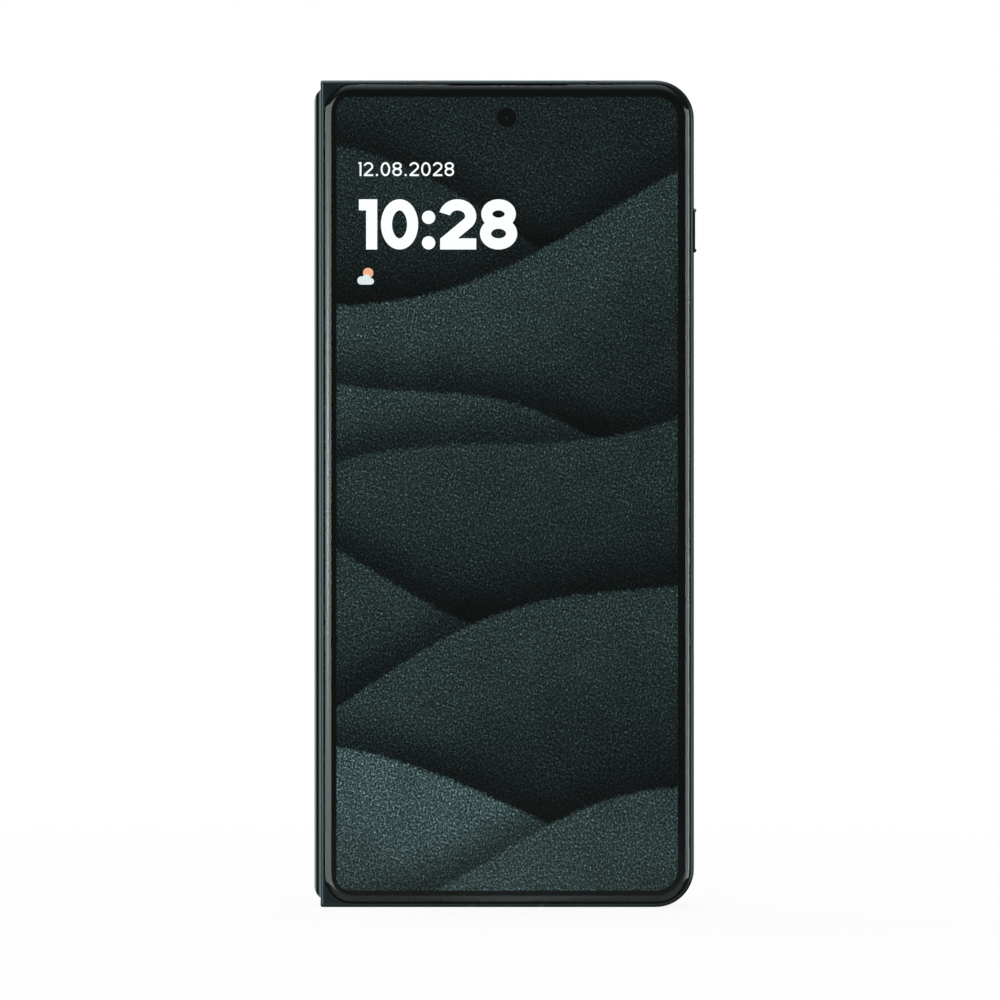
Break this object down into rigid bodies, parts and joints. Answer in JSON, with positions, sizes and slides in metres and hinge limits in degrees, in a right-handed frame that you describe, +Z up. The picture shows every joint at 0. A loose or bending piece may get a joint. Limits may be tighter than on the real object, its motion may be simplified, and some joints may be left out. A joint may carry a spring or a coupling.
{
  "type": "foldable smartphone",
  "caption": "Book-style folding phone shown shut, with a curved-glass cover screen, a metal frame, a round-backed hinge spine and a camera island; it opens flat to an inner display.",
  "frame": {"origin": "bottom centre of the shut phone's box, on the plane of its bottom edge", "axes": "+Z up along the phone's length, -Y out of the cover screen, -X towards the hinge spine"},
  "size_m": [0.0742, 0.0128, 0.1601],
  "materials": {
    "frame_metal": "satin anodised",
    "break_plastic": "satin",
    "back_skin": "fine grain",
    "island_metal": "satin",
    "lens_glass": "polished",
    "cover_glass": "polished",
    "black_plastic": "matte",
    "seal_rubber": "matte",
    "border_print": "gloss",
    "screen_panel": "gloss",
    "flex_display": "gloss",
    "steel": "brushed",
    "dark_steel": "satin",
    "spine_metal": "polished anodised",
    "gear_brass": "satin",
    "board": "satin",
    "battery_wrap": "satin",
    "copper": "satin",
    "ribbon": "satin",
    "flash_lens": "gloss",
    "card_plastic": "satin"
  },
  "bodies": {
    "rear_half": {"rear_frame": "frame_metal", "rear_frame_breaks": "break_plastic", "rear_cover": "back_skin", "camera_island": "island_metal", "camera_rings": "island_metal", "camera_lenses": "lens_glass", "camera_modules": "black_plastic", "flash": "flash_lens", "main_board": "board", "processor_shield": "steel", "board_screws": "steel", "main_battery": "battery_wrap", "charging_coil": "copper", "bottom_speaker": "black_plastic", "usb_board": "board", "usb_shell": "steel", "usb_tongue": "black_plastic", "bottom_flex": "ribbon", "vibration_motor": "steel", "card_reader": "steel", "key_switches": "black_plastic", "rear_magnets": "steel", "inner_camera": "black_plastic", "rear_display_sheet": "steel", "inner_display_rear": "flex_display", "inner_border_rear": "black_plastic", "rear_hinge_arms": "dark_steel", "rear_hinge_pins": "steel"},
    "spine": {"spine_cover": "spine_metal", "hinge_blocks": "dark_steel", "hinge_end_caps": "black_plastic", "hinge_flex": "ribbon", "display_fold": "flex_display"},
    "cover_half": {"cover_frame": "frame_metal", "cover_frame_breaks": "break_plastic", "cover_glass": "cover_glass", "cover_glass_seal": "seal_rubber", "cover_glass_border": "border_print", "cover_screen": "screen_panel", "cover_camera": "black_plastic", "earpiece": "black_plastic", "earpiece_mesh": "steel", "cover_battery": "battery_wrap", "cover_board": "board", "top_speaker": "black_plastic", "cover_magnets": "steel", "cover_display_sheet": "steel", "inner_display_cover": "flex_display", "inner_border_cover": "black_plastic", "cover_hinge_arms": "dark_steel", "cover_hinge_pins": "steel"},
    "rear_idlers": {"rear_idler_gears": "gear_brass"},
    "cover_idlers": {"cover_idler_gears": "gear_brass"},
    "rear_wing": {"rear_wing_plate": "steel"},
    "cover_wing": {"cover_wing_plate": "steel"},
    "lift": {"lift_plate": "steel"},
    "power_key": {"power_key": "frame_metal"},
    "volume_rocker": {"volume_rocker": "frame_metal"},
    "card_tray": {"card_tray": "frame_metal", "sim_card": "card_plastic"}
  },
  "joints": [
    {"name": "fold_rear", "type": "hinge", "parent": "rear_half", "child": "spine", "pos_m": [-0.03457, -0.00007, 0.08002], "axis": [0, 0, -1], "range_deg": [0, 90], "deforming": ["display_fold"]},
    {"name": "fold_cover", "type": "hinge", "parent": "spine", "child": "cover_half", "pos_m": [-0.03457, -0.00278, 0.08002], "axis": [0, 0, -1], "range_deg": [0, 90]},
    {"name": "rear_idler_turn", "type": "hinge", "parent": "spine", "child": "rear_idlers", "pos_m": [-0.03555, -0.00093, 0.08002], "axis": [0, 0, -1], "range_deg": [0, 144.1]},
    {"name": "cover_idler_turn", "type": "hinge", "parent": "spine", "child": "cover_idlers", "pos_m": [-0.03555, -0.00193, 0.08002], "axis": [0, 0, 1], "range_deg": [0, 144.1]},
    {"name": "rear_wing_turn", "type": "hinge", "parent": "rear_half", "child": "rear_wing", "pos_m": [-0.02637, -0.00038, 0.08002], "axis": [0, 0, 1], "range_deg": [0, 7]},
    {"name": "cover_wing_turn", "type": "hinge", "parent": "cover_half", "child": "cover_wing", "pos_m": [-0.02637, -0.00248, 0.08002], "axis": [0, 0, -1], "range_deg": [0, 7]},
    {"name": "lift_slide", "type": "slide", "parent": "spine", "child": "lift", "axis": [1, 0, 0], "range_m": [0, 0.00125]},
    {"name": "power_press", "type": "slide", "parent": "rear_half", "child": "power_key", "axis": [-1, 0, 0], "range_m": [0, 0.00025], "stiffness_N_per_m": 1500},
    {"name": "volume_rock", "type": "hinge", "parent": "rear_half", "child": "volume_rocker", "pos_m": [0.03473, 0.00122, 0.1462], "axis": [0, 1, 0], "range_deg": [-1.5, 1.5], "stiffness_Nm_per_rad": 0.3},
    {"name": "tray_slide", "type": "slide", "parent": "rear_half", "child": "card_tray", "axis": [0, 0, -1], "range_m": [0, 0.0105]}
  ],
  "couplings": [
    {"joint": "fold_cover", "follows": "fold_rear", "ratio": 1},
    {"joint": "rear_idler_turn", "follows": "fold_rear", "ratio": 1.6},
    {"joint": "cover_idler_turn", "follows": "fold_rear", "ratio": 1.6},
    {"joint": "rear_wing_turn", "follows": "fold_rear", "ratio": 0.0777},
    {"joint": "cover_wing_turn", "follows": "fold_rear", "ratio": 0.0777},
    {"joint": "lift_slide", "follows": "fold_rear", "m_per_rad": 0.000795}
  ]
}
